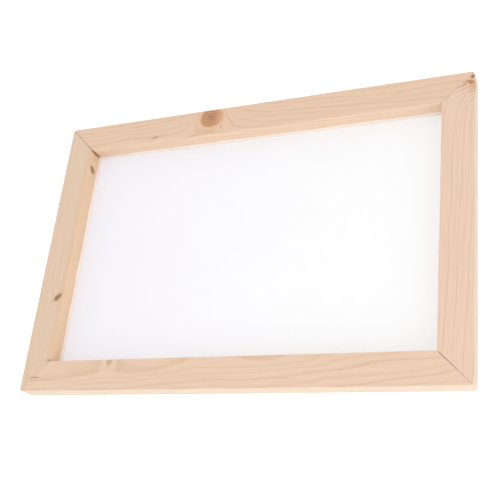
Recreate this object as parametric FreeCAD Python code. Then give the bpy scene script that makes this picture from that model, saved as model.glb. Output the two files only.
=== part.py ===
# Screen printing frame: four mitred pine rails with polyester mesh glued across their underside.
#
# The frame lies print side down with its ink well facing up. X runs along the long side, Y from
# the printer's side (front) to the far side (back), and Z is up. The origin is on the surface that
# the frame lies on, under the middle of the frame. All sizes are in millimetres.
import FreeCAD, Part
import math
import os

from FreeCAD import Vector

# The frame: outside size, and the section of the rails.
OUTER_LENGTH = 300.0
OUTER_WIDTH = 203.5
RAIL_WIDTH = 20.5
RAIL_THICKNESS = 11.5
ARRIS_RADIUS = 0.5  # the long edges of each rail, eased before it is cut
CORNER_RADIUS = 2.6  # the frame's four upright corners, sanded once it is glued up

# The mesh: 43 threads to the centimetre, and the contact adhesive that bonds it to the rails.
MESH_THICKNESS = 0.13
ADHESIVE_THICKNESS = 0.20
TRIM_MARGIN = 1.5  # mesh and adhesive are trimmed this far inside the outer faces

# Each mitre stands a little open. Its width at the inner corner comes first, then at the outer.
MITRE_GAPS = {
    "front_left": (0.10, 0.08),
    "front_right": (0.32, 0.08),
    "back_right": (0.12, 0.08),
    "back_left": (0.14, 0.17),
}

# How far short of the faces that show the glue in each mitre stops.
GLUE_RECESSES = {"front_left": 0.1, "front_right": 1.4, "back_right": 0.1, "back_left": 0.6}

# The V-nails, driven flush into the underside across each mitre, with the V open outwards.
NAIL_HEIGHT = 7.0
NAIL_BEVEL_HEIGHT = 0.8  # the sharpened stretch that enters the wood first
NAIL_SHEET = 0.5
NAIL_EDGE = 0.12  # the sheet's thickness at the sharpened end
NAIL_LEG = 5.0
NAIL_HALF_ANGLE = math.radians(50.0)
NAIL_PLACES = {"inner": 6.0, "outer": 15.0}  # the V's point, along the mitre from its inner corner

# Levels and lengths that follow.
MESH_TOP = MESH_THICKNESS
RAIL_BOTTOM = MESH_TOP + ADHESIVE_THICKNESS
RAIL_TOP = RAIL_BOTTOM + RAIL_THICKNESS
MITRE_LENGTH = RAIL_WIDTH * math.sqrt(2.0)
MITRE_SPAN = MITRE_LENGTH - CORNER_RADIUS * (math.sqrt(2.0) - 1.0)  # up to the rounded upright corner
CLEAR = 2.0  # how far a cutting tool runs past what it cuts

# Which way each corner lies from the middle, and the two corners that each rail joins.
CORNERS = {
    "front_left": (-1, -1),
    "front_right": (1, -1),
    "back_right": (1, 1),
    "back_left": (-1, 1),
}
RAILS = {
    "front": ("front_left", "front_right"),
    "right": ("front_right", "back_right"),
    "back": ("back_right", "back_left"),
    "left": ("back_left", "front_left"),
}


def prism(points, bottom, top):
    """An upright prism over the polygon of these (x, y) points."""
    base = [Vector(x, y, bottom) for x, y in points]
    face = Part.Face(Part.makePolygon(base + base[:1]))
    return face.extrude(Vector(0, 0, top - bottom))


def inset_point(corner, inset):
    """The point on a corner's mitre line that lies inset from both outer faces."""
    side_x, side_y = CORNERS[corner]
    return side_x * (OUTER_LENGTH / 2 - inset), side_y * (OUTER_WIDTH / 2 - inset)


def mitre_point(corner, along, across):
    """The point at a distance along a mitre, from its inner corner, and across it."""
    side_x, side_y = CORNERS[corner]
    inner_x, inner_y = inset_point(corner, RAIL_WIDTH)
    step = math.sqrt(0.5)
    return (
        inner_x + step * (side_x * along - side_y * across),
        inner_y + step * (side_y * along + side_x * across),
    )


def rail_plan(rail, outer_inset, inner_inset):
    """The plan of one side of the frame between its two mitre lines."""
    first, last = RAILS[rail]
    return [
        inset_point(first, outer_inset),
        inset_point(last, outer_inset),
        inset_point(last, inner_inset),
        inset_point(first, inner_inset),
    ]


def mitre_gap(corner, start, stop, bottom, top):
    """The tapered gap of one mitre, between two places along it."""
    inner_gap, outer_gap = MITRE_GAPS[corner]
    start_half, stop_half = [
        (inner_gap + (outer_gap - inner_gap) * place / MITRE_LENGTH) / 2
        for place in (start, stop)
    ]
    points = [
        mitre_point(corner, start, -start_half),
        mitre_point(corner, stop, -stop_half),
        mitre_point(corner, stop, stop_half),
        mitre_point(corner, start, start_half),
    ]
    return prism(points, bottom, top)


def nail_section(corner, place, sheet, level):
    """The V of bent sheet as a closed wire, with its point at a place along the mitre."""
    sine, cosine = math.sin(NAIL_HALF_ANGLE), math.cos(NAIL_HALF_ANGLE)
    half = sheet / 2
    point = half / sine
    leg = [
        (NAIL_LEG * cosine - half * sine, NAIL_LEG * sine + half * cosine),
        (NAIL_LEG * cosine + half * sine, NAIL_LEG * sine - half * cosine),
    ]
    outline = [(-point, 0.0), *leg, (point, 0.0)]
    outline += [(along, -across) for along, across in reversed(leg)]
    corners = [mitre_point(corner, place + along, across) for along, across in outline]
    wire_points = [Vector(x, y, level) for x, y in corners]
    return Part.makePolygon(wire_points + wire_points[:1])


def make_nail(corner, place):
    """A V-nail, sharpened at its upper end, with its crown flush with the rails' underside."""
    top = RAIL_BOTTOM + NAIL_HEIGHT
    sections = [
        nail_section(corner, place, NAIL_SHEET, RAIL_BOTTOM),
        nail_section(corner, place, NAIL_SHEET, top - NAIL_BEVEL_HEIGHT),
        nail_section(corner, place, NAIL_EDGE, top),
    ]
    return Part.makeLoft(sections, True, True)


def make_rail(rail, nails):
    """One length of eased stock, mitred at both ends, with the slots that its V-nails cut."""
    xs, ys = zip(*rail_plan(rail, 0.0, RAIL_WIDTH))
    span_x, span_y = max(xs) - min(xs), max(ys) - min(ys)
    start = Vector(min(xs), min(ys), RAIL_BOTTOM)
    stock = Part.makeBox(span_x, span_y, RAIL_THICKNESS, start)
    long_edges = [e for e in stock.Edges if e.Length > max(span_x, span_y) - 1e-6]
    stock = stock.makeFillet(ARRIS_RADIUS, long_edges)

    corner = Vector(-OUTER_LENGTH / 2, -OUTER_WIDTH / 2, RAIL_BOTTOM - CLEAR)
    block = Part.makeBox(OUTER_LENGTH, OUTER_WIDTH, RAIL_THICKNESS + 2 * CLEAR, corner)
    upright_edges = [e for e in block.Edges if abs(e.tangentAt(e.FirstParameter).z) > 0.9]
    block = block.makeFillet(CORNER_RADIUS, upright_edges)

    plan = rail_plan(rail, -CLEAR, RAIL_WIDTH + CLEAR)
    shape = stock.common(prism(plan, RAIL_BOTTOM - CLEAR, RAIL_TOP + CLEAR)).common(block)
    gaps = [
        mitre_gap(end, -CLEAR, MITRE_LENGTH + CLEAR, RAIL_BOTTOM - CLEAR, RAIL_TOP + CLEAR)
        for end in RAILS[rail]
    ]
    return shape.cut(gaps).cut([nails[end, place] for end in RAILS[rail] for place in NAIL_PLACES])


def make_mitre_glue(corner, nails):
    """The wood glue that fills one mitre round its V-nails, short of the faces that show."""
    recess = GLUE_RECESSES[corner]
    glue = mitre_gap(corner, recess, MITRE_SPAN - 2 * recess, RAIL_BOTTOM, RAIL_TOP - recess)
    return glue.cut([nails[corner, place] for place in NAIL_PLACES])


def make_adhesive(rail):
    """The film of contact adhesive brushed along one rail's underside."""
    plan = rail_plan(rail, TRIM_MARGIN, RAIL_WIDTH - ARRIS_RADIUS)
    film = prism(plan, MESH_TOP, RAIL_BOTTOM)
    gaps = [
        mitre_gap(end, -CLEAR, MITRE_LENGTH, MESH_TOP - CLEAR, RAIL_BOTTOM + CLEAR)
        for end in RAILS[rail]
    ]
    return film.cut(gaps)


def make_mesh():
    """The stretched mesh, as one thin sheet across the whole underside."""
    corner = Vector(TRIM_MARGIN - OUTER_LENGTH / 2, TRIM_MARGIN - OUTER_WIDTH / 2, 0.0)
    length = OUTER_LENGTH - 2 * TRIM_MARGIN
    width = OUTER_WIDTH - 2 * TRIM_MARGIN
    return Part.makeBox(length, width, MESH_THICKNESS, corner)


def make_parts():
    """Every piece of the frame by name."""
    nails = {
        (corner, place): make_nail(corner, along)
        for corner in CORNERS
        for place, along in NAIL_PLACES.items()
    }
    parts = {f"v_nail_{corner}_{place}": nail for (corner, place), nail in nails.items()}
    for rail in RAILS:
        parts[f"rail_{rail}"] = make_rail(rail, nails)
        parts[f"adhesive_{rail}"] = make_adhesive(rail)
    for corner in CORNERS:
        parts[f"mitre_glue_{corner}"] = make_mitre_glue(corner, nails)
    parts["printing_mesh"] = make_mesh()
    return parts


os.makedirs("parts", exist_ok=True)
for name, shape in make_parts().items():
    shape.exportStep(f"parts/{name}.step")
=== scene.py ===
"""A screen printing frame: four mitred pine rails with polyester mesh glued across their underside.

The rails, the glue in their mitres, the adhesive film and the mesh are built here as meshes that follow
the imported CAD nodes. The V-nails are the CAD's own, and cut their slots in the rails' undersides.
Lengths are in millimetres until a mesh is made, which is in metres.
"""

import math
import random
from collections import namedtuple

import bmesh
import bpy
import numpy as np
from mathutils import Matrix, Vector, noise


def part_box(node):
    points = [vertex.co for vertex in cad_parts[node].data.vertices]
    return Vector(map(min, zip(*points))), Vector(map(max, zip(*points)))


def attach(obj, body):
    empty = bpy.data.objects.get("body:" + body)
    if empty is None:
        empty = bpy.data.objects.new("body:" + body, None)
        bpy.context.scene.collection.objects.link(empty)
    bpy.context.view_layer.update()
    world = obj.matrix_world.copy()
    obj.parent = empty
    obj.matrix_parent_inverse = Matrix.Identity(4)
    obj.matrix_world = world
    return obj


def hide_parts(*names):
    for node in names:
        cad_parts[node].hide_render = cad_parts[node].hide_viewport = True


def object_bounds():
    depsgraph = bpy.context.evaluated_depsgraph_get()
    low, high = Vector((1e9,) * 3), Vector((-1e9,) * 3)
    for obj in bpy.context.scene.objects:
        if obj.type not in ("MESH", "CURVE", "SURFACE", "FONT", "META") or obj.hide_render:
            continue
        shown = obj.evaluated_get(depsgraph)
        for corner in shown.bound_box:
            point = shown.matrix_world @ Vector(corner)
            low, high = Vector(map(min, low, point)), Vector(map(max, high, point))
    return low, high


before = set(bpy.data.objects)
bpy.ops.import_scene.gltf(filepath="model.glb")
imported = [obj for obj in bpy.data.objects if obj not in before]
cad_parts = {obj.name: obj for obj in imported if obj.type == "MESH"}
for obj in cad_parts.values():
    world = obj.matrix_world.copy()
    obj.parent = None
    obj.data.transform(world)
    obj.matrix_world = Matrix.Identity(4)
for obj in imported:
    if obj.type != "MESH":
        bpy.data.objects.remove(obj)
cad_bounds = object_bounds()

MM = 0.001

# Sizes read from the frame.
LOW, HIGH = (np.array(corner) / MM for corner in cad_bounds)
HALF_X, HALF_Y = HIGH[0], HIGH[1]
MESH_LOW, MESH_HIGH = (np.array(corner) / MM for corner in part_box("printing_mesh"))
RAIL_LOW, RAIL_HIGH = (np.array(corner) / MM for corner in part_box("rail_front"))
RAIL_WIDTH = RAIL_HIGH[1] - RAIL_LOW[1]
RAIL_BOTTOM, RAIL_TOP = RAIL_LOW[2], RAIL_HIGH[2]
RAIL_DEPTH = RAIL_TOP - RAIL_BOTTOM
MESH_TOP = MESH_HIGH[2]

# Sizes that the frame doesn't give, as the CAD has them.
ARRIS_RADIUS = 0.5
CORNER_RADIUS = 2.6
MITRE_LENGTH = RAIL_WIDTH * math.sqrt(2.0)
MITRE_SPAN = MITRE_LENGTH - CORNER_RADIUS * (math.sqrt(2.0) - 1.0)
MITRE_GAPS = {
    "front_left": (0.10, 0.08),
    "front_right": (0.32, 0.08),
    "back_right": (0.12, 0.08),
    "back_left": (0.14, 0.17),
}
GLUE_RECESS = {"front_left": 0.1, "front_right": 1.4, "back_right": 0.1, "back_left": 0.6}

# The mesh's threads: 43 to a centimetre.
THREAD_PITCH = 10.0 / 43.0
THREAD_WIDTH = 0.08

# Each rail runs counter-clockwise round the frame, from one corner to the next. Its own coordinates are
# s along it from its middle, u inwards from its outer face, and z up.
RAILS = {
    "front": {"ends": ("front_left", "front_right"), "turn": 0},
    "right": {"ends": ("front_right", "back_right"), "turn": 1},
    "back": {"ends": ("back_right", "back_left"), "turn": 2},
    "left": {"ends": ("back_left", "front_left"), "turn": 3},
}
CORNERS = {"front_left": (-1, -1), "front_right": (1, -1), "back_right": (1, 1), "back_left": (-1, 1)}

# ---------------------------------------------------------------- rails: shape

FACE_STEP = 0.5  # between points across the faces that show
UNDERSIDE_STEP = 1.6
ARC_STEPS = 5
STATION_STEP = 1.1  # between rings of points along a rail
FINE_STEP = 0.35  # and near a hollow
END_EASE = 0.035  # the mitred ends' edges are broken by this much
TOE_REACH = 0.6  # how far along a mitre its toe, at the inner corner, has worn back
TOE_WEAR = {"front_left": 0.20, "front_right": 0.12, "back_right": 0.05, "back_left": 0.90}
GAP_NARROWS = (0.32, 0.72)  # shares of a mitre's length between which its gap changes
SHEAR_ROOM = 4.0  # a rail's sections start to lean this far short of its mitres
ARRIS_WANDER = 0.22  # in an arris's radius, along the rail
FACE_WAVES = 0.030  # broad waves in the planed faces
FACE_RIPPLES = 0.012  # and finer ones
RAIL_SHARP_ANGLE = 38
NOISE_SHIFT = 37.0  # between one seed's noise and the next one's

# Hollows in each rail's surface: s, u, z, radius, and depth into the wood.
HOLLOWS = {
    "front": [
        (-83.0, 19.8, RAIL_TOP, 1.3, 0.16),
        (-71.0, 0.2, RAIL_TOP, 0.9, 0.15),
        (-137.8, 9.2, RAIL_TOP, 0.6, 0.25),
        (-139.6, 9.2, RAIL_TOP, 0.6, 0.25),
    ],
    "right": [
        (94.0, 2.8, RAIL_TOP, 1.2, 0.55),
        (98.0, 1.2, RAIL_TOP, 1.2, 0.90),
        (96.2, 0.0, RAIL_TOP - 3.0, 1.6, 0.35),
    ],
    "back": [
        (32.8, 6.4, RAIL_TOP, 1.2, 0.12),
        (77.3, 16.4, RAIL_TOP, 0.6, 0.18),
        (75.4, 17.1, RAIL_TOP, 0.6, 0.14),
    ],
    "left": [
        (34.8, 16.4, RAIL_TOP, 1.2, 0.22),
        (36.3, 14.9, RAIL_TOP, 1.2, 0.22),
        (-68.0, RAIL_WIDTH, 8.2, 1.1, 0.20),
        (-66.6, RAIL_WIDTH, 6.6, 1.1, 0.20),
        (80.5, 19.6, RAIL_TOP, 0.7, 0.22),
    ],
}
HOLLOW_FALL = 1.4  # how steeply a hollow's sides fall
FINE_MARGIN = 1.5  # rings of points stay close together this far past a hollow's radius
DINGS_PER_RAIL = 14
DING_CLEAR = 6.0  # from a rail's ends
DING_RADII = (0.4, 1.0)
DING_DEPTHS = (0.03, 0.14)


def rail_half_length(rail):
    return HALF_X if RAILS[rail]["turn"] % 2 == 0 else HALF_Y


def rail_outer_face(rail):
    """How far a rail's outer face lies from the middle of the frame."""
    return HALF_Y if RAILS[rail]["turn"] % 2 == 0 else HALF_X


def rail_to_frame(rail, s, u, z):
    """Points of the frame, as an array of (x, y, z), from a rail's own coordinates."""
    out = rail_outer_face(rail) - u
    angle = RAILS[rail]["turn"] * math.pi / 2
    cosine, sine = round(math.cos(angle)), round(math.sin(angle))
    return np.stack([s * cosine + out * sine, s * sine - out * cosine, z], axis=-1)


def mitre_point(corner, along, across):
    """The point at a distance along a mitre, from its inner corner, and across it."""
    side_x, side_y = CORNERS[corner]
    step = math.sqrt(0.5)
    return (
        side_x * (HALF_X - RAIL_WIDTH) + step * (side_x * along - side_y * across),
        side_y * (HALF_Y - RAIL_WIDTH) + step * (side_y * along + side_x * across),
    )


def gap_at(corner, along):
    """How wide a mitre stands open at a distance from its inner corner, where its toe has worn back."""
    inner, outer = MITRE_GAPS[corner]
    start, stop = GAP_NARROWS
    share = np.clip((along / MITRE_LENGTH - start) / (stop - start), 0.0, 1.0)
    worn = TOE_WEAR[corner] * np.exp(-np.maximum(along, 0.0) / TOE_REACH)
    return inner + (outer - inner) * share + worn


def end_place(rail, end, u):
    """How far from the rail's middle its mitred end lies, at each inset u from the outer face."""
    along = (RAIL_WIDTH - u) * math.sqrt(2.0)
    return rail_half_length(rail) - u - gap_at(RAILS[rail]["ends"][end], along) / math.sqrt(2.0)


def smooth_noise(s, u, z, seed, scale):
    """Perlin noise at each point, with scale as millimetres to a feature along s, u and z."""
    points = np.stack([s / scale[0] + seed * NOISE_SHIFT, u / scale[1], z / scale[2]], axis=-1)
    values = [noise.noise(Vector(point)) for point in points.reshape(-1, 3)]
    return np.array(values).reshape(points.shape[:-1])


def station_places(rail, hollows):
    """Places along a rail for its rings of points, closer together near hollows."""
    half = rail_half_length(rail)
    places = [-half + END_EASE]
    while places[-1] < half - END_EASE:
        here = places[-1]
        near = any(abs(here - s) < radius + FINE_MARGIN for s, _, _, radius, _ in hollows)
        places.append(here + (FINE_STEP if near else STATION_STEP))
    places[-1] = half - END_EASE
    return np.array([-half, *places, half])


def section_ring(radii):
    """Rounded-rectangle sections: u and z, with a row for each station, and the outward normals.

    radii has a row for each station and a column for each arris: lower inner, upper inner,
    upper outer, lower outer.
    """
    centre_u = [RAIL_WIDTH - radii[:, 0], RAIL_WIDTH - radii[:, 1], radii[:, 2], radii[:, 3]]
    centre_z = [radii[:, 0], RAIL_DEPTH - radii[:, 1], RAIL_DEPTH - radii[:, 2], radii[:, 3]]
    side_steps = round(RAIL_DEPTH / FACE_STEP)
    flat_steps = [
        side_steps, round(RAIL_WIDTH / FACE_STEP), side_steps, round(RAIL_WIDTH / UNDERSIDE_STEP)
    ]

    def on_arc(k, angle):
        reach = radii[:, k]
        return centre_u[k] + reach * math.cos(angle), centre_z[k] + reach * math.sin(angle)

    columns = []
    for k in range(4):
        for step in range(ARC_STEPS + 1):
            angle = math.pi / 2 * (k - 1 + step / ARC_STEPS)
            columns.append((*on_arc(k, angle), angle))
        angle = math.pi / 2 * k
        start, stop = on_arc(k, angle), on_arc((k + 1) % 4, angle)
        for step in range(1, flat_steps[k]):
            share = step / flat_steps[k]
            u = start[0] * (1 - share) + stop[0] * share
            z = start[1] * (1 - share) + stop[1] * share
            columns.append((u, z, angle))
    u, z, angles = zip(*columns)
    normal_u = np.array([math.cos(angle) for angle in angles])
    normal_z = np.array([math.sin(angle) for angle in angles])
    return np.stack(u, axis=1), np.stack(z, axis=1), normal_u, normal_z


def round_upright_corners(rail, s, u):
    """Bends the lines near the outer face round the frame's sanded upright corners."""
    start = rail_half_length(rail) - CORNER_RADIUS
    room = np.maximum(CORNER_RADIUS - u, 0.0)
    past = np.maximum(np.abs(s) - start, 0.0)
    bent = (room > 1e-6) & (past > 0.0)
    angle = np.where(bent, past / np.where(bent, room, 1.0), 0.0) * (math.pi / 4)
    new_s = np.where(bent, np.sign(s) * (start + room * np.sin(angle)), s)
    new_u = np.where(bent, CORNER_RADIUS - room * np.cos(angle), u)
    return new_s, new_u


def dings(rail, rng):
    """Small knocks, mostly on the arrises, as shop and bench life leaves them."""
    half = rail_half_length(rail)
    found = []
    for _ in range(DINGS_PER_RAIL):
        s = rng.uniform(-half + DING_CLEAR, half - DING_CLEAR)
        u = rng.choice([0.1, RAIL_WIDTH - 0.1, rng.uniform(1, RAIL_WIDTH - 1)])
        z = rng.choice([RAIL_TOP, RAIL_TOP, RAIL_BOTTOM + rng.uniform(2, RAIL_DEPTH)])
        found.append((s, u, z, rng.uniform(*DING_RADII), rng.uniform(*DING_DEPTHS)))
    return found


def mesh_object(name, points, faces, smooth_angle=None):
    """A mesh object from points in millimetres."""
    mesh = bpy.data.meshes.new(name)
    mesh.from_pydata((np.asarray(points, float) * MM).tolist(), [], faces)
    mesh.validate()
    if smooth_angle is not None:
        mesh.shade_smooth()
        mesh.set_sharp_from_angle(angle=math.radians(smooth_angle))
    piece = bpy.data.objects.new(name, mesh)
    bpy.context.scene.collection.objects.link(piece)
    return piece


def tube_faces(rings, ring_points):
    """Quads between rings of points, one after another, with a face over each end."""
    faces = []
    for row in range(rings - 1):
        here, beyond = row * ring_points, (row + 1) * ring_points
        for k in range(ring_points):
            after = (k + 1) % ring_points
            faces.append((here + k, here + after, beyond + after, beyond + k))
    faces.append(tuple(reversed(range(ring_points))))
    faces.append(tuple((rings - 1) * ring_points + k for k in range(ring_points)))
    return faces


def build_rail(rail, cutter):
    """One rail: eased, mitred, knocked about a little, and slotted by its V-nails."""
    rng = random.Random(f"rail {rail}")
    seed = RAILS[rail]["turn"] + 1
    hollows = HOLLOWS[rail] + dings(rail, rng)
    places = station_places(rail, hollows)
    half = rail_half_length(rail)

    radii = np.full((len(places), 4), ARRIS_RADIUS)
    for k in range(4):
        row = np.full_like(places, k)
        radii[:, k] += ARRIS_WANDER * smooth_noise(places, np.zeros_like(places), row, seed, (24, 1, 1))
    u, z, normal_u, normal_z = section_ring(radii)

    # The sections are square to the rail in its middle, and lean more and more towards each mitre.
    sheared_from = half - RAIL_WIDTH - SHEAR_ROOM
    s = np.repeat(places[:, None], u.shape[1], axis=1)
    for end, sign in ((0, -1.0), (1, 1.0)):
        past = np.maximum(sign * s - sheared_from, 0.0) / (half - sheared_from)
        reach = end_place(rail, end, u) - sheared_from
        s = np.where(past > 0, sign * (sheared_from + past * reach), s)

    relief = FACE_WAVES * smooth_noise(s, u, z, seed, (22, 9, 9))
    relief += FACE_RIPPLES * smooth_noise(s, u, z, seed + 9, (9, 1.6, 1.6))
    level = z + RAIL_BOTTOM
    for hollow_s, hollow_u, hollow_z, radius, depth in hollows:
        apart = (s - hollow_s) ** 2 + (u - hollow_u) ** 2 + (level - hollow_z) ** 2
        relief -= depth * np.exp(-apart / radius**2 * HOLLOW_FALL)
    relief[0] -= END_EASE
    relief[-1] -= END_EASE
    u = u + relief * normal_u
    z = z + relief * normal_z
    s, u = round_upright_corners(rail, s, u)

    points = rail_to_frame(rail, s, u, z + RAIL_BOTTOM).reshape(-1, 3)
    faces = tube_faces(len(places), u.shape[1])
    piece = mesh_object(f"pine_rail_{rail}", points, faces)
    cut_with(piece, cutter)
    piece.data.shade_smooth()
    piece.data.set_sharp_from_angle(angle=math.radians(RAIL_SHARP_ANGLE))
    return piece


def cut_with(piece, cutter):
    cut = piece.modifiers.new("cut", "BOOLEAN")
    cut.operation = "DIFFERENCE"
    cut.solver = "EXACT"
    cut.object = cutter
    depsgraph = bpy.context.evaluated_depsgraph_get()
    mesh = bpy.data.meshes.new_from_object(piece.evaluated_get(depsgraph), depsgraph=depsgraph)
    piece.modifiers.remove(cut)
    piece.data = mesh


def nail_cutter():
    """All the V-nails as one mesh, copied from the CAD."""
    joined = bmesh.new()
    for name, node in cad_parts.items():
        if name.startswith("v_nail_"):
            joined.from_mesh(node.data)
    mesh = bpy.data.meshes.new("nail_cutter")
    bmesh.ops.remove_doubles(joined, verts=joined.verts, dist=1e-7)
    joined.to_mesh(mesh)
    joined.free()
    cutter = bpy.data.objects.new("nail_cutter", mesh)
    bpy.context.scene.collection.objects.link(cutter)
    return cutter


# ---------------------------------------------------------------- materials: tools


def add_node(tree, kind, inputs, **settings):
    """Adds a node. Sockets among its inputs are linked in, and anything else is a value."""
    node = tree.nodes.new(kind)
    for name, value in settings.items():
        setattr(node, name, value)
    for key, value in inputs.items():
        if isinstance(value, bpy.types.NodeSocket):
            tree.links.new(value, node.inputs[key])
        else:
            node.inputs[key].default_value = value
    return node


class Surface:
    """One material, built node by node."""

    def __init__(self, name):
        self.material = bpy.data.materials.new(name)
        self.material.use_nodes = True
        self.tree = self.material.node_tree
        self.tree.nodes.clear()

    def node(self, kind, inputs, **settings):
        return add_node(self.tree, kind, inputs, **settings)

    def math(self, operation, *values, clamp=False):
        inputs = dict(enumerate(values))
        return self.node("ShaderNodeMath", inputs, operation=operation, use_clamp=clamp).outputs[0]

    def times(self, first, second, clamp=False):
        return self.math("MULTIPLY", first, second, clamp=clamp)

    def minus(self, first, second):
        return self.math("SUBTRACT", first, second)

    def line(self, value, slope, start):
        """slope * value + start"""
        return self.math("MULTIPLY_ADD", value, slope, start)

    def fade(self, distance, reach):
        """1 at no distance, and 1/e at a distance of reach."""
        return self.math("EXPONENT", self.math("DIVIDE", distance, -reach))

    def parts(self, vector):
        return self.node("ShaderNodeSeparateXYZ", {0: vector}).outputs

    def vector(self, operation, *values):
        node = self.node("ShaderNodeVectorMath", dict(enumerate(values)), operation=operation)
        single = operation in ("DOT_PRODUCT", "LENGTH")
        return node.outputs["Value" if single else "Vector"]

    def scaled(self, vector, factor):
        return self.node("ShaderNodeVectorMath", {0: vector, 3: factor}, operation="SCALE").outputs[0]

    def place(self, shift=(0.0, 0.0, 0.0), turn=0.0):
        """The piece's own coordinates in millimetres, turned about Z, and then shifted."""
        inputs = {
            "Vector": self.node("ShaderNodeTexCoord", {}).outputs["Object"],
            "Scale": (1.0 / MM,) * 3,
            "Rotation": (0.0, 0.0, turn),
            "Location": shift,
        }
        return self.node("ShaderNodeMapping", inputs).outputs[0]

    def noise(self, where, size, detail=1.0, roughness=0.5, shift=0.0):
        """Noise of about -1 to 1 with features of a size in millimetres along each axis."""
        stretched = self.vector("DIVIDE", where, size)
        inputs = {
            "Vector": self.vector("ADD", stretched, (shift, 0.7 * shift, 0.3 * shift)),
            "Scale": 1.0,
            "Detail": detail,
            "Roughness": roughness,
        }
        value = self.node("ShaderNodeTexNoise", inputs, noise_dimensions="3D").outputs[0]
        return self.line(value, 3.2, -1.6)

    def hashed(self, number):
        """A random value from 0 to 1 that belongs to a whole number."""
        inputs = {"W": self.math("ADD", number, 0.37)}
        return self.node("ShaderNodeTexWhiteNoise", inputs, noise_dimensions="1D").outputs[0]

    def step(self, value, low, high, at_low=0.0, at_high=1.0):
        """A smooth step of value from at_low at low to at_high at high."""
        inputs = {
            "Value": value,
            "From Min": low,
            "From Max": high,
            "To Min": at_low,
            "To Max": at_high,
        }
        return self.node("ShaderNodeMapRange", inputs, interpolation_type="SMOOTHSTEP").outputs[0]

    def mix(self, share, first, second):
        """A colour between two. A colour is a socket, or red, green and blue."""
        colours = [c if isinstance(c, bpy.types.NodeSocket) else (*c, 1.0) for c in (first, second)]
        inputs = {0: share, 6: colours[0], 7: colours[1]}
        return self.node("ShaderNodeMix", inputs, data_type="RGBA").outputs[2]

    def grey(self, value):
        return self.node("ShaderNodeCombineXYZ", {0: value, 1: value, 2: value}).outputs[0]

    def bump(self, height, strength, distance):
        inputs = {"Height": height, "Strength": strength, "Distance": distance}
        return self.node("ShaderNodeBump", inputs).outputs[0]

    def principled(self, inputs):
        return self.node("ShaderNodeBsdfPrincipled", inputs).outputs[0]

    def finish(self, shader):
        self.node("ShaderNodeOutputMaterial", {"Surface": shader})
        return self.material


# ---------------------------------------------------------------- pine

EARLYWOOD = (0.735, 0.548, 0.420)
LATEWOOD = (0.675, 0.474, 0.340)
PINK_PATCH = (0.715, 0.512, 0.396)
YELLOW_PATCH = (0.720, 0.556, 0.402)
DEEP_WOOD = (0.715, 0.500, 0.342)
RESIN_STREAK = (0.480, 0.300, 0.170)
# Dark red-brown at the mitres: glue stain, and painted shade of the joints.
GLUE_STAIN_AND_SHADE = (0.400, 0.195, 0.110)

# What each kind of knot looks like: the colours of its wood, heart and skin and of the stained wood
# beyond, how strong that stain is and how far it reaches, how far the outline strays, as a share of the
# radius, and how strongly the skin shows.
KnotKind = namedtuple("KnotKind", "wood heart skin stain stain_share stain_reach wobble skin_share")
KNOT_KINDS = {
    "round": KnotKind(
        (0.572, 0.324, 0.186), (0.415, 0.205, 0.115), (0.455, 0.235, 0.13), (0.69, 0.435, 0.245),
        stain_share=0.85, stain_reach=1.8, wobble=0.08, skin_share=0.45,
    ),
    "dark": KnotKind(
        (0.40, 0.225, 0.13), (0.33, 0.175, 0.10), (0.33, 0.175, 0.10), (0.62, 0.405, 0.26),
        stain_share=0.60, stain_reach=1.0, wobble=0.20, skin_share=0.45,
    ),
    "spike": KnotKind(
        (0.72, 0.44, 0.29), (0.64, 0.35, 0.21), (0.48, 0.27, 0.16), (0.69, 0.45, 0.27),
        stain_share=0.60, stain_reach=1.2, wobble=0.10, skin_share=0.55,
    ),
    "pin": KnotKind(
        (0.40, 0.225, 0.135), (0.35, 0.19, 0.11), (0.36, 0.195, 0.115), (0.61, 0.41, 0.265),
        stain_share=0.50, stain_reach=0.7, wobble=0.14, skin_share=0.20,
    ),
    "amber": KnotKind(
        (0.53, 0.30, 0.165), (0.44, 0.235, 0.125), (0.43, 0.23, 0.125), (0.68, 0.44, 0.26),
        stain_share=0.60, stain_reach=1.0, wobble=0.20, skin_share=0.40,
    ),
    "fleck": KnotKind(
        (0.635, 0.428, 0.315), (0.60, 0.395, 0.29), (0.59, 0.39, 0.285), (0.69, 0.492, 0.368),
        stain_share=0.30, stain_reach=0.5, wobble=0.20, skin_share=0.10,
    ),
}

# How darkly old glue has stained the wood on both sides of each mitre, with painted shade of the joint
# added in.
MITRE_STAIN_AND_SHADE = {"front_left": 0.10, "front_right": 0.12, "back_right": 0.06, "back_left": 0.90}
STAIN_AND_SHADE_DEPTH = 0.60  # into the wood
STAIN_AND_SHADE_LENGTH = 1.5  # along the mitre from its toe

# A knot passes through a point (s, u, z) in a direction. It pushes the rings near it aside by its lift,
# in rings, which fades over its reach.
Knot = namedtuple("Knot", "at along radius kind lift reach", defaults=(0.0, 1.0))

NO_PAINTED_SHADING = (1.0, 1.0, 1.0)
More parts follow.
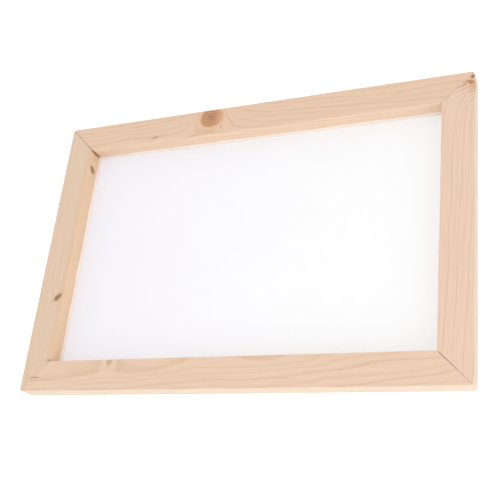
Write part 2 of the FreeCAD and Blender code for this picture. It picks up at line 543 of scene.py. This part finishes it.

# Each rail's wood: where its tree's heart lies across the rail (u, z), how that drifts along it, its
# ring width, how far the rings wander, how dark its late wood is, the cast of its colour, the painted
# light and shade on its outer and inner side faces, how much deeper it is along the inner edge, and its
# knots.
WOOD = {
    "front": {
        "heart": (34.0, -42.0),
        "drift": (0.030, -0.020),
        "ring": 2.1,
        "wander": 2.2,
        "contrast": 1.25,
        "cast": (1.000, 0.985, 0.955),
        "outer_painted_shading": (0.915, 1.030, 1.090),
        "inner_painted_shading": NO_PAINTED_SHADING,
        "deep": 0.0,
        "knots": [
            Knot((-83.0, 19.0, RAIL_TOP), (0.30, 0.80, 0.52), 1.90, "fleck", lift=1.2, reach=3.5),
            Knot((-138.4, 9.2, RAIL_TOP), (0.99, 0.0, 0.14), 0.28, "pin"),
        ],
    },
    "right": {
        "heart": (66.0, -30.0),
        "drift": (-0.035, 0.010),
        "ring": 2.3,
        "wander": 1.4,
        "contrast": 1.00,
        "cast": (1.005, 0.992, 1.000),
        "outer_painted_shading": (0.840, 0.937, 0.943),
        "inner_painted_shading": NO_PAINTED_SHADING,
        "deep": 0.0,
        "knots": [
            Knot((91.8, 0.8, 11.0), (-0.25, -0.95, 0.18), 2.30, "spike", lift=-7.5, reach=3.4),
            Knot((94.0, 2.8, RAIL_TOP), (0.35, 0.80, 0.48), 1.30, "amber"),
            Knot((98.1, 1.2, RAIL_TOP), (0.60, -0.40, 0.69), 1.05, "pin"),
        ],
    },
    "back": {
        "heart": (46.0, -44.0),
        "drift": (-0.012, 0.020),
        "ring": 2.3,
        "wander": 1.8,
        "contrast": 1.25,
        "cast": (0.990, 0.957, 0.915),
        "outer_painted_shading": NO_PAINTED_SHADING,
        "inner_painted_shading": (1.035, 1.075, 1.090),
        "deep": 0.0,
        "knots": [
            Knot((33.2, 6.3, RAIL_TOP), (0.08, 0.12, 1.0), 8.20, "round", lift=-9.0, reach=7.9),
            Knot((25.0, 15.0, RAIL_TOP), (0.35, 0.80, 0.50), 0.80, "fleck", lift=0.5, reach=2.0),
            Knot((76.8, 16.8, RAIL_TOP), (0.96, 0.22, 0.17), 0.42, "pin"),
        ],
    },
    "left": {
        "heart": (-40.0, -26.0),
        "drift": (0.020, 0.012),
        "ring": 2.1,
        "wander": 1.6,
        "contrast": 0.85,
        "cast": (0.955, 0.957, 0.935),
        "outer_painted_shading": NO_PAINTED_SHADING,
        "inner_painted_shading": (1.030, 1.055, 1.060),
        "deep": 1.0,
        "knots": [
            Knot((35.1, 16.1, RAIL_TOP), (-0.57, 0.61, 0.55), 1.80, "dark", lift=-2.2, reach=5.0),
            Knot((-67.3, RAIL_WIDTH, 7.4), (-0.47, 0.655, 0.59), 2.05, "dark", lift=-1.6, reach=4.0),
            Knot((92.5, 8.2, RAIL_TOP), (0.0, 0.975, 0.22), 0.24, "pin"),
            # The pin knot below sits at the front-left mitre's toe: its dark colour is partly painted
            # shade of the open toe.
            Knot((80.5, 19.2, RAIL_TOP), (0.0, 0.975, -0.22), 0.34, "pin"),
        ],
    },
}
TIGHT_REACH = 5.0  # the late wood is darker this near a knot
TIGHT_GRAIN = {"round": 0.3, "spike": 2.0}  # by these shares, and only near such knots
KNOT_SQUEEZE = 0.55  # the grain swirls further along the rail than across it
SPIKE_TAPER = 0.42  # a spike knot's radius grows by this much for each millimetre along it
LARGE_KNOT = 4.0  # a knot of more than this radius has wider rings of its own
LARGE_KNOT_RING = 1.55
SMALL_KNOT_RING = 0.45
SIDE_EDGE = (0.10, 0.45)  # how far in from a side face its painted shading starts and finishes fading


def knot_field(surface, where, knot):
    """The distance from a knot's skin, its push on the trunk's rings, and the offset from its axis."""
    along = Vector(knot.along).normalized()
    apart = surface.vector("SUBTRACT", where, knot.at)
    height = surface.vector("DOT_PRODUCT", apart, tuple(along))
    across = surface.vector("SUBTRACT", apart, surface.scaled(tuple(along), height))
    radius = knot.radius
    grain = min(5.0, 1.6 * radius)
    wobble = surface.noise(where, (grain, grain, 1.8 * grain), shift=radius)
    if knot.kind == "spike":
        radius = surface.math("MAXIMUM", surface.line(height, SPIKE_TAPER, radius), 0.0)
    skin = surface.minus(surface.vector("LENGTH", across), radius)
    stray = KNOT_KINDS[knot.kind].wobble * knot.radius
    skin = surface.line(wobble, stray, skin)
    squeezed = surface.vector("MULTIPLY", across, (KNOT_SQUEEZE, 1.0, 1.0))
    lift = surface.times(surface.fade(surface.vector("LENGTH", squeezed), knot.reach), knot.lift)
    return skin, lift, across


def trunk_rings(surface, where, wood, seed):
    """The age of the wood, in rings counted from the heart."""
    heart_u, heart_z = wood["heart"]
    drift_u, drift_z = wood["drift"]
    parts = surface.parts(where)
    across = surface.line(parts[0], -drift_u, parts[1])
    across = surface.minus(across, heart_u)
    deep = surface.line(parts[0], -drift_z, parts[2])
    deep = surface.minus(deep, heart_z)
    flat = surface.node("ShaderNodeCombineXYZ", {0: across, 1: deep, 2: 0.0}).outputs[0]
    distance = surface.vector("LENGTH", flat)
    wander = surface.noise(where, (75.0, 16.0, 16.0), detail=1.0, shift=seed)
    tremor = surface.noise(where, (9.0, 3.0, 3.0), detail=2.0, shift=seed + 3)
    distance = surface.line(wander, wood["wander"], distance)
    distance = surface.line(tremor, 0.16, distance)
    age = surface.math("DIVIDE", distance, wood["ring"])
    uneven = surface.node(
        "ShaderNodeTexNoise",
        {"W": surface.times(age, 0.31), "Scale": 1.0, "Detail": 1.0},
        noise_dimensions="1D",
    ).outputs[0]
    return surface.line(uneven, 1.6, age)


def near_knot(surface, skin):
    """How near a knot's skin is, from 1 at the skin or inside it to 0 well past TIGHT_REACH."""
    near = surface.math("DIVIDE", surface.math("MAXIMUM", skin, 0.0), TIGHT_REACH)
    return surface.math("EXPONENT", surface.times(near, surface.times(near, -1.0)))


def late_wood(surface, age, darkness):
    """How dark each ring is: slowly more through its summer, until the next spring starts sharply."""
    season = surface.math("FRACT", age)
    rise = surface.step(season, 0.35, 0.93)
    fall = surface.step(season, 0.93, 0.995, 1.0, 0.0)
    late = surface.times(surface.math("POWER", rise, 1.7), fall)
    strength = surface.line(surface.hashed(surface.math("FLOOR", age)), 0.75, 0.30)
    return surface.times(late, surface.times(strength, darkness))


def resin_canals(surface, where, late, seed):
    """Short thin dark dashes, mostly in the late wood."""
    dash = surface.noise(where, (7.0, 0.16, 0.16), detail=0.0, shift=seed + 15)
    dash = surface.step(dash, 0.82, 1.10)
    return surface.times(dash, surface.line(late, 0.5, 0.28))


def pine(rail):
    """Planed pine for one rail, with its own rings and knots."""
    wood = WOOD[rail]
    turn = RAILS[rail]["turn"]
    seed = 11.0 * (turn + 1)
    surface = Surface(f"pine_{rail}")
    where = surface.place(shift=(0.0, rail_outer_face(rail), 0.0), turn=-turn * math.pi / 2)

    age = trunk_rings(surface, where, wood, seed)
    fields = []
    tight, streaked = 1.0, 0.0
    for knot in wood["knots"]:
        skin, lift, across = knot_field(surface, where, knot)
        age = surface.math("ADD", age, lift)
        fields.append((knot, skin, across))
        if knot.kind in TIGHT_GRAIN:
            near = near_knot(surface, skin)
            tight = surface.line(near, TIGHT_GRAIN[knot.kind], tight)
            streaked = near if knot.kind == "spike" else streaked
    late = late_wood(surface, age, surface.times(tight, wood["contrast"]))

    fibre = surface.noise(where, (26.0, 0.30, 0.30), detail=3.0, roughness=0.62, shift=seed + 5)
    coarse = surface.noise(where, (60.0, 1.8, 1.8), detail=2.0, shift=seed + 7)
    cloud = surface.noise(where, (40.0, 14.0, 14.0), detail=2.0, shift=seed + 8)
    warm = surface.noise(where, (55.0, 20.0, 20.0), detail=1.0, shift=seed + 12)
    flame = surface.noise(where, (11.0, 0.75, 0.75), detail=1.0, shift=seed + 21)

    colour = surface.mix(late, EARLYWOOD, LATEWOOD)
    streak = surface.times(late, 0.9, clamp=True)
    streak = surface.times(streak, streaked, clamp=True)
    colour = surface.mix(streak, colour, KNOT_KINDS["spike"].skin)
    colour = surface.mix(surface.step(cloud, -0.1, 1.0, 0.0, 0.55), colour, PINK_PATCH)
    colour = surface.mix(surface.step(warm, 0.0, 1.0, 0.0, 0.45), colour, YELLOW_PATCH)
    places = surface.parts(where)
    deep = surface.step(places[1], RAIL_WIDTH - 5.0, RAIL_WIDTH, 0.0, wood["deep"])
    colour = surface.mix(deep, colour, DEEP_WOOD)
    dash = resin_canals(surface, where, late, seed)
    colour = surface.mix(dash, colour, RESIN_STREAK)

    height = surface.times(late, 0.5)
    height = surface.line(fibre, 0.35, height)
    height = surface.minus(height, dash)
    for knot, skin, across in fields:
        colour, height = paint_knot(surface, where, knot, skin, across, colour, height)
    # Glue stain and painted shade at the mitres, strongest at their toes.
    colour = surface.mix(mitre_stain_and_shade(surface, rail, places), colour, GLUE_STAIN_AND_SHADE)

    shade = surface.line(fibre, 0.045, 1.0)
    shade = surface.line(flame, 0.028, shade)
    shade = surface.line(coarse, 0.034, shade)
    tinted = surface.vector("MULTIPLY", surface.scaled(colour, shade), wood["cast"])
    # Painted light and shade: each rail's outer and inner side faces are tinted paler, brighter or
    # darker, as light falls on them.
    for inset, cast in (
        (places[1], wood["outer_painted_shading"]),
        (surface.minus(RAIL_WIDTH, places[1]), wood["inner_painted_shading"]),
    ):
        side = surface.step(inset, *SIDE_EDGE, 1.0, 0.0)
        tinted = surface.mix(side, tinted, surface.vector("MULTIPLY", tinted, cast))
    rough = surface.line(late, -0.10, 0.62)
    rough = surface.line(fibre, 0.04, rough)
    return surface.finish(surface.principled({
        "Base Color": tinted,
        "Roughness": rough,
        "Specular IOR Level": 0.28,
        "Normal": surface.bump(height, 0.35, 0.00012),
    }))


def mitre_stain_and_shade(surface, rail, places):
    """How far glue stain and painted shade darken the wood: most at the toe of each mitre, and little
    past its skin.
    """
    first, last = [MITRE_STAIN_AND_SHADE[corner] for corner in RAILS[rail]["ends"]]
    strength = surface.step(places[0], -1.0, 1.0, first, last)
    inside = surface.minus(rail_half_length(rail), surface.math("ABSOLUTE", places[0]))
    inside = surface.math("MAXIMUM", surface.minus(inside, places[1]), 0.0)
    fade = surface.fade(inside, STAIN_AND_SHADE_DEPTH)
    from_toe = surface.math("MAXIMUM", surface.minus(RAIL_WIDTH, places[1]), 0.0)
    toe = surface.fade(from_toe, STAIN_AND_SHADE_LENGTH)
    share = surface.line(toe, 0.70, 0.30)
    return surface.times(surface.times(strength, share), fade)


def paint_knot(surface, where, knot, skin, across, colour, height):
    """Lays one knot's colours over the wood's."""
    radius = knot.radius
    kind = KNOT_KINDS[knot.kind]
    inside = surface.step(skin, -0.10 * radius - 0.08, 0.05 * radius + 0.05, 1.0, 0.0)
    beyond = surface.math("MAXIMUM", skin, 0.0)
    stain = surface.times(surface.fade(beyond, kind.stain_reach), kind.stain_share)
    colour = surface.mix(stain, colour, kind.stain)

    # The branch's own rings, uneven and darker towards its heart.
    depth = surface.math("DIVIDE", surface.minus(0.0, skin), radius)
    pitch = LARGE_KNOT_RING if radius > LARGE_KNOT else SMALL_KNOT_RING
    drift = surface.noise(where, (3.5, 3.5, 8.0), detail=2.0, shift=4.0)
    count = surface.line(drift, 0.35, surface.math("DIVIDE", skin, pitch))
    own_ring = surface.step(surface.math("FRACT", count), 0.15, 0.95)
    own_ring = surface.times(own_ring, surface.hashed(surface.math("FLOOR", count)))
    body = surface.mix(surface.step(depth, 0.35, 1.0), kind.wood, kind.heart)
    body = surface.mix(surface.times(own_ring, 0.95), body, kind.heart)

    # Checks: fine dark cracks that open from the knot's heart.
    flat = surface.parts(across)
    bearing = surface.math("ARCTAN2", flat[1], flat[0])
    spoke = surface.node(
        "ShaderNodeTexNoise",
        {"W": surface.times(bearing, 2.1), "Scale": 1.0, "Detail": 3.0},
        noise_dimensions="1D",
    ).outputs[0]
    crack = surface.math("ABSOLUTE", surface.minus(spoke, 0.5))
    crack = surface.minus(1.0, surface.step(crack, 0.0, 0.030))
    crack = surface.times(crack, surface.step(depth, 0.15, 0.7))
    body = surface.mix(surface.times(crack, 0.6), body, kind.skin)
    speck = surface.noise(where, (1.2, 1.2, 4.0), detail=2.0, shift=9.0)
    body = surface.scaled(body, surface.line(speck, 0.13, 1.0))
    rim = surface.math("ABSOLUTE", surface.math("ADD", skin, 0.05 * radius))
    rim = surface.minus(1.0, surface.step(rim, 0.0, 0.05 * radius + 0.22))
    if knot.kind == "round":
        # Pale sapwood of the branch, on the side that faces up the trunk, with little skin.
        upward = surface.times(flat[0], -1.0)
        pale = surface.step(upward, 0.25 * radius, radius, 0.0, 0.60)
        body = surface.mix(pale, body, kind.stain)
        rim = surface.times(rim, surface.minus(1.0, pale))
    colour = surface.mix(inside, colour, body)
    colour = surface.mix(surface.times(rim, kind.skin_share), colour, kind.skin)
    height = surface.minus(height, surface.times(crack, 1.5))
    height = surface.minus(height, surface.times(rim, 0.8))
    return colour, height


# ---------------------------------------------------------------- mesh, adhesive, glue: shape

# The mesh is painted darker and bluer on the left than on the right: painted shade, as less light falls
# on the left.
FABRIC_COOL_SHADE = (0.640, 0.612, 0.695)
FABRIC_WARM = (0.703, 0.702, 0.712)
FABRIC_OPEN = 0.70  # of each of the sheet's two faces
FABRIC_LENGTH = MESH_HIGH[0] - MESH_LOW[0]
FABRIC_WIDTH = MESH_HIGH[1] - MESH_LOW[1]
FABRIC_STEP = 2.5
CUT_WAVER = 0.35  # how far the cut edge strays from straight
TRIM_MARGIN = MESH_LOW[0] - LOW[0]
LOOSE_THREADS = 420
THREAD_LENGTHS = (0.5, 1.2)
LONGER_BY = (0.3, 1.4)  # and how much longer some of them are
LONGER_SHARE = 0.25
THREAD_STEPS = 5
THREAD_SIDES = 5


def cut_edge(place, seed):
    """How far inside its straight line the mesh was cut, at a place along the edge."""
    swing = 0.8 * noise.noise(Vector((place / 31.0, seed, 0.5)))
    jitter = 0.5 * noise.noise(Vector((place / 4.0, seed, 3.5)))
    return CUT_WAVER * (swing + jitter)


def fabric_grid():
    """The fabric as a grid of x and y, pulled in or out a little at its cut edges."""
    columns = round(FABRIC_LENGTH / FABRIC_STEP)
    rows = round(FABRIC_WIDTH / FABRIC_STEP)
    grid = np.zeros((rows + 1, columns + 1, 2))
    for row in range(rows + 1):
        for column in range(columns + 1):
            across, up = column / columns, row / rows
            x = (across - 0.5) * FABRIC_LENGTH
            y = (up - 0.5) * FABRIC_WIDTH
            x += cut_edge(y, 1.0) if column == 0 else 0.0
            x -= cut_edge(y, 2.0) if column == columns else 0.0
            y += cut_edge(x, 3.0) if row == 0 else 0.0
            y -= cut_edge(x, 4.0) if row == rows else 0.0
            grid[row, column] = (x, y)
    return grid


def build_fabric():
    """The stretched polyester mesh: a thin closed sheet, cut by hand inside the rails' outer faces."""
    grid = fabric_grid()
    rows, columns = grid.shape[:2]
    lower = np.concatenate([grid, np.full((rows, columns, 1), MESH_LOW[2])], axis=2).reshape(-1, 3)
    upper = lower + (0, 0, MESH_HIGH[2] - MESH_LOW[2])
    above = rows * columns
    faces = []
    for row in range(rows - 1):
        for column in range(columns - 1):
            a = row * columns + column
            b, c, d = a + 1, a + columns + 1, a + columns
            faces.append((above + a, above + b, above + c, above + d))
            faces.append((d, c, b, a))
    rim = list(range(columns))
    rim += [row * columns + columns - 1 for row in range(1, rows)]
    rim += [(rows - 1) * columns + column for column in reversed(range(columns - 1))]
    rim += [row * columns for row in reversed(range(1, rows - 1))]
    for here, after in zip(rim, rim[1:] + rim[:1]):
        faces.append((here, after, above + after, above + here))
    return mesh_object("printing_mesh_sheet", np.concatenate([lower, upper]), faces, smooth_angle=40)


def thread_points(rng):
    """The line of one thread that has come loose from the cut edge."""
    rail = rng.choice(list(RAILS))
    s = rng.uniform(-0.97, 0.97) * (rail_half_length(rail) - TRIM_MARGIN)
    lean = rng.gauss(0.0, 0.5)
    length = rng.uniform(*THREAD_LENGTHS)
    length += rng.uniform(*LONGER_BY) if rng.random() < LONGER_SHARE else 0.0
    lift = rng.uniform(0.0, 0.25)
    curl = rng.gauss(0.0, 0.35)
    points = []
    for step in range(THREAD_STEPS):
        share = step / (THREAD_STEPS - 1)
        reach = 0.3 - share * (length + 0.3)
        along = s + lean * share * length + curl * share**2 * length
        height = THREAD_WIDTH / 2 + 0.02 + lift * share**2 * length
        points.append(rail_to_frame(rail, along, TRIM_MARGIN + reach * 0.9, height))
    return points


def build_threads():
    """Loose thread ends along the mesh's cut edges, as one mesh of fine tubes."""
    rng = random.Random("loose threads")
    points, faces = [], []
    for _ in range(LOOSE_THREADS):
        line = [Vector(point) for point in thread_points(rng)]
        first = len(points)
        for k, centre in enumerate(line):
            forward = (line[min(k + 1, len(line) - 1)] - line[max(k - 1, 0)]).normalized()
            side = forward.cross(Vector((0, 0, 1))).normalized()
            upward = side.cross(forward)
            for corner in range(THREAD_SIDES):
                angle = 2 * math.pi * corner / THREAD_SIDES
                reach = side * math.cos(angle) + upward * math.sin(angle)
                points.append(centre + reach * (THREAD_WIDTH / 2))
        for face in tube_faces(THREAD_STEPS, THREAD_SIDES):
            faces.append(tuple(first + index for index in face))
    return mesh_object("loose_threads", [tuple(point) for point in points], faces, smooth_angle=80)


FILM_STEP = 1.5
FILM_INSET = 0.25
FILM_CLEAR = 0.01  # from the mesh below it and the rail above
FILM_END_CLEAR = 0.02  # from the line of each mitre
BEAD_REACH = 1.20
BEAD_CLIMB = 2.00
BEAD_STEPS = 7


def bead_swell(place, seed):
    """How far the adhesive squeezed out at a place along a rail, as a share of the usual."""
    swell = 0.85 + 0.5 * noise.noise(Vector((place / 23.0, seed, 0.0)))
    swell += 0.25 * noise.noise(Vector((place / 6.0, seed, 4.0)))
    return min(max(swell, 0.30), 1.35)


def build_film(rail):
    """The brushed-on adhesive between one rail and the mesh, with what squeezed out along the well."""
    seed = 60.0 + RAILS[rail]["turn"]
    half = rail_half_length(rail)
    count = round(2 * half / FILM_STEP)
    low, high = MESH_TOP + FILM_CLEAR, RAIL_BOTTOM - FILM_CLEAR
    inner = half - RAIL_WIDTH - 1.0
    points = []
    for k in range(count + 1):
        share = 2.0 * k / count - 1.0
        place = share * half
        swell = bead_swell(place, seed)
        outer = TRIM_MARGIN + FILM_INSET + 0.5 * noise.noise(Vector((place / 9.0, seed, 8.0)))
        section = [(outer, low), (outer + 0.15, high), (RAIL_WIDTH - 0.4, high)]
        for step in range(BEAD_STEPS + 1):
            angle = math.pi / 2 * step / BEAD_STEPS
            reach = BEAD_REACH * swell * (1 - math.cos(angle))
            climb = (high - low + BEAD_CLIMB * swell) * (1 - math.sin(angle))
            section.append((RAIL_WIDTH + reach - 0.02, low + climb))
        for u, z in section:
            edge = half - u - FILM_END_CLEAR
            s = place
            if abs(place) > inner:
                past = (abs(place) - inner) / (half - inner)
                s = math.copysign(inner + past * (edge - inner), share)
            points.append(rail_to_frame(rail, s, u, z))
    faces = tube_faces(count + 1, len(section))
    return mesh_object(f"adhesive_film_{rail}", points, faces, smooth_angle=50)


GLUE_STATIONS = 48
GLUE_CLEAR = 0.015  # from the end of each rail
GLUE_INSET = 0.02  # from the rails' upper and lower faces
GLUE_START = 0.25  # from a mitre's inner corner
GLUE_STOP = 0.15  # from its outer corner
STARVED_UP_TO = 0.35  # the share of a mitre's length where its glue stops short of the top
FILLED_FROM = 0.70  # and where it all but reaches the top


def build_glue(corner):
    """What fills one mitre: glue that stops short of the faces, ragged along its edges."""
    seed = 80.0 + list(CORNERS).index(corner)
    recess = GLUE_RECESS[corner]
    start = GLUE_START + 0.3 * recess
    stop = MITRE_SPAN - GLUE_STOP - 0.3 * recess
    low = RAIL_BOTTOM + GLUE_INSET
    points = []
    for k in range(GLUE_STATIONS + 1):
        share = k / GLUE_STATIONS
        ragged = noise.noise(Vector((share * 9.0, seed, 0.0)))
        along = start + share * (stop - start)
        filled = (share - STARVED_UP_TO) / (FILLED_FROM - STARVED_UP_TO)
        starved = 1.0 - 0.95 * min(max(filled, 0.0), 1.0)
        top = RAIL_TOP - GLUE_INSET - recess * (1.0 + 0.35 * ragged) * starved
        thick = max(gap_at(corner, along) / 2 - GLUE_CLEAR, 0.02)
        section = [(-thick, low), (thick, low), (thick, top)]
        section += [(0.4 * thick, top - 0.08), (-0.4 * thick, top - 0.10), (-thick, top)]
        for across, z in section:
            points.append((*mitre_point(corner, along, across), z))
    faces = tube_faces(GLUE_STATIONS + 1, len(section))
    return mesh_object(f"mitre_glue_line_{corner}", points, faces, smooth_angle=30)


# ---------------------------------------------------------------- their materials, and the nails' steel


def weave(surface, where):
    """The height of a plain weave, whose threads along X pass over and under those along Y."""
    turns = 2 * math.pi / THREAD_PITCH
    parts = surface.parts(where)
    ripples = [surface.math("COSINE", surface.times(parts[axis], turns)) for axis in (0, 1)]
    crossing = surface.times(ripples[0], ripples[1])
    ridge = surface.math("MAXIMUM", ripples[0], ripples[1])
    return surface.line(crossing, 0.3, ridge)


def polyester():
    """White monofilament mesh, which passes about half of the light through its two faces. Its colour
    is painted darker and bluer towards the left, as shade.
    """
    surface = Surface("polyester_mesh")
    where = surface.place()
    height = weave(surface, where)
    cloud = surface.noise(where, (70.0, 55.0, 30.0), detail=2.0)
    place_x = surface.parts(where)[0]
    # Painted shade: the colour runs from darker and bluer on the left to the mesh's own white on the
    # right.
    warm = surface.step(place_x, -HALF_X, HALF_X * 0.6)
    colour = surface.mix(warm, FABRIC_COOL_SHADE, FABRIC_WARM)
    shade = surface.line(cloud, 0.006, 1.0)
    # The weave's height darkens the colour a little where the threads dip: painted shade between the
    # threads.
    shade = surface.line(height, 0.006, shade)
    rough = surface.line(cloud, 0.03, 0.48)
    thread = surface.principled({
        "Base Color": surface.scaled(colour, shade),
        "Roughness": rough,
        "Specular IOR Level": 0.25,
        "Normal": surface.bump(height, 0.12, 0.00002),
    })
    opening = surface.node("ShaderNodeBsdfTransparent", {}).outputs[0]
    mixed = surface.node("ShaderNodeMixShader", {0: FABRIC_OPEN, 1: thread, 2: opening})
    return surface.finish(mixed.outputs[0])


def loose_thread():
    """The same filament, seen singly."""
    surface = Surface("loose_thread")
    where = surface.place()
    mottle = surface.noise(where, (0.8, 0.8, 0.8), detail=1.0)
    mottle = surface.line(mottle, 0.03, 0.82)
    inputs = {"Base Color": surface.grey(mottle), "Roughness": 0.35, "Specular IOR Level": 0.4}
    return surface.finish(surface.principled(inputs))


def brushed_adhesive():
    """Set contact adhesive: pale amber, satin, streaked by the brush."""
    surface = Surface("mesh_adhesive")
    where = surface.place()
    streak = surface.noise(where, (3.0, 3.0, 2.0), detail=3.0)
    blotch = surface.noise(where, (16.0, 16.0, 5.0), detail=2.0)
    share = surface.step(surface.math("ADD", streak, blotch), -1.2, 1.2)
    colour = surface.mix(share, (0.850, 0.755, 0.690), (0.815, 0.695, 0.605))
    return surface.finish(surface.principled({
        "Base Color": colour,
        "Roughness": surface.line(streak, 0.05, 0.28),
        "Specular IOR Level": 0.5,
        "Normal": surface.bump(streak, 0.4, 0.00008),
    }))


def set_glue():
    """Wood glue set in a joint: red-brown, dusty from the saw and the sander."""
    surface = Surface("wood_glue")
    where = surface.place()
    grit = surface.noise(where, (0.5, 0.5, 0.5), detail=3.0)
    patch = surface.noise(where, (5.0, 5.0, 3.0), detail=1.0)
    colour = surface.mix(surface.step(patch, -0.8, 0.8), (0.60, 0.33, 0.20), (0.46, 0.24, 0.14))
    colour = surface.mix(surface.step(grit, 0.3, 1.2, 0.0, 0.4), colour, (0.55, 0.40, 0.26))
    return surface.finish(surface.principled({
        "Base Color": colour,
        "Roughness": surface.line(grit, 0.08, 0.55),
        "Normal": surface.bump(grit, 0.4, 0.00006),
    }))


def nail_steel():
    """Bright strip steel, with rolling lines along it and a little tarnish."""
    surface = Surface("nail_steel")
    where = surface.place()
    rolled = surface.noise(where, (0.12, 0.12, 6.0), detail=2.0)
    tarnish = surface.step(surface.noise(where, (1.6, 1.6, 2.4), detail=3.0), 0.1, 1.1)
    colour = surface.mix(tarnish, (0.60, 0.60, 0.61), (0.34, 0.31, 0.28))
    rough = surface.line(tarnish, 0.25, 0.30)
    return surface.finish(surface.principled({
        "Base Color": colour,
        "Metallic": 1.0,
        "Roughness": surface.line(rolled, 0.05, rough),
        "Normal": surface.bump(rolled, 0.15, 0.00003),
    }))


# ---------------------------------------------------------------- camera, lights, floor

CAMERA_FROM_TOP = (236.776, -241.975, 475.481)  # from the middle of the rails' upper faces
CAMERA_RIGHT = Vector((0.915197, 0.102265, -0.389815))
CAMERA_UP = Vector((0.072159, 0.910055, 0.408158))
LENS = 64.857
SENSOR_WIDTH = 36.0

# These are in metres, and brightness in Blender's own units.
FLOOR_SIZE = 8.0
FLOOR_DROP = 0.0003
FLOOR_GLOW = 0.85
HORIZON_GLOW = 1.66
ZENITH_GLOW = 0.76
SOFTBOX_TOWARDS = Vector((0.60, -0.68, 0.42))
SOFTBOX_DISTANCE = 0.75
SOFTBOX_SIZE = 0.6
SOFTBOX_POWER = 1.0


def make_camera():
    """The camera: to the right of the frame, in front of it and above it, rolled a little."""
    camera = bpy.data.objects.new("camera", bpy.data.cameras.new("camera"))
    camera.data.sensor_width = SENSOR_WIDTH
    camera.data.lens = LENS
    camera.data.clip_start = 0.01
    axes = Matrix((CAMERA_RIGHT, CAMERA_UP, CAMERA_RIGHT.cross(CAMERA_UP))).transposed()
    camera.matrix_world = axes.to_4x4()
    camera.location = (Vector(CAMERA_FROM_TOP) + Vector((0, 0, RAIL_TOP))) * MM
    bpy.context.scene.collection.objects.link(camera)
    bpy.context.scene.camera = camera


def make_floor():
    """A white table that glows a little, as one lit from below does, so shadows on it are faint."""
    corners = [(-1, -1), (1, -1), (1, 1), (-1, 1)]
    mesh = bpy.data.meshes.new("floor")
    half = FLOOR_SIZE / 2
    mesh.from_pydata([(x * half, y * half, -FLOOR_DROP) for x, y in corners], [], [(0, 1, 2, 3)])
    floor = bpy.data.objects.new("floor", mesh)
    bpy.context.scene.collection.objects.link(floor)
    surface = Surface("floor")
    where = surface.place()
    mottle = surface.noise(where, (90.0, 90.0, 90.0), detail=3.0)
    mottle = surface.line(mottle, 0.01, 0.40)
    mesh.materials.append(surface.finish(surface.principled({
        "Base Color": surface.grey(mottle),
        "Roughness": 0.9,
        "Specular IOR Level": 0.0,
        "Emission Color": (1.0, 1.0, 1.0, 1.0),
        "Emission Strength": FLOOR_GLOW,
    })))


def make_lights():
    """A white tent, brighter towards its foot, and a weak softbox in front and to the right."""
    world = bpy.data.worlds.new("tent")
    world.use_nodes = True
    tree = world.node_tree
    tree.nodes.clear()
    direction = add_node(tree, "ShaderNodeTexCoord", {}).outputs["Generated"]
    height = add_node(tree, "ShaderNodeSeparateXYZ", {0: direction}).outputs[2]
    ramp = {"Value": height, "To Min": HORIZON_GLOW, "To Max": ZENITH_GLOW}
    glow = add_node(tree, "ShaderNodeMapRange", ramp).outputs[0]
    white = {"Color": (1.0, 1.0, 1.0, 1.0), "Strength": glow}
    background = add_node(tree, "ShaderNodeBackground", white).outputs[0]
    add_node(tree, "ShaderNodeOutputWorld", {"Surface": background})
    bpy.context.scene.world = world

    light = bpy.data.lights.new("softbox", "AREA")
    light.shape = "SQUARE"
    light.size = SOFTBOX_SIZE
    light.energy = SOFTBOX_POWER
    softbox = bpy.data.objects.new("softbox", light)
    towards = SOFTBOX_TOWARDS.normalized()
    softbox.location = towards * SOFTBOX_DISTANCE
    softbox.rotation_euler = towards.to_track_quat("Z", "Y").to_euler()
    softbox.visible_camera = False
    bpy.context.scene.collection.objects.link(softbox)
    bpy.context.scene.view_settings.view_transform = "Standard"


# ---------------------------------------------------------------- putting it together

make_camera()
make_floor()
make_lights()

cutter = nail_cutter()
for rail in RAILS:
    piece = build_rail(rail, cutter)
    piece.data.materials.append(pine(rail))
    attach(piece, "root")
    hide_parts(f"rail_{rail}")
bpy.data.objects.remove(cutter)

adhesive = brushed_adhesive()
for rail in RAILS:
    piece = build_film(rail)
    piece.data.materials.append(adhesive)
    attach(piece, "root")
    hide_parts(f"adhesive_{rail}")

glue = set_glue()
for corner in CORNERS:
    piece = build_glue(corner)
    piece.data.materials.append(glue)
    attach(piece, "root")
    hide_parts(f"mitre_glue_{corner}")

fabric = build_fabric()
fabric.data.materials.append(polyester())
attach(fabric, "root")
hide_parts("printing_mesh")

threads = build_threads()
threads.data.materials.append(loose_thread())
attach(threads, "root")

steel = nail_steel()
for name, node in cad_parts.items():
    if name.startswith("v_nail_"):
        for slot in node.material_slots:
            slot.material = steel
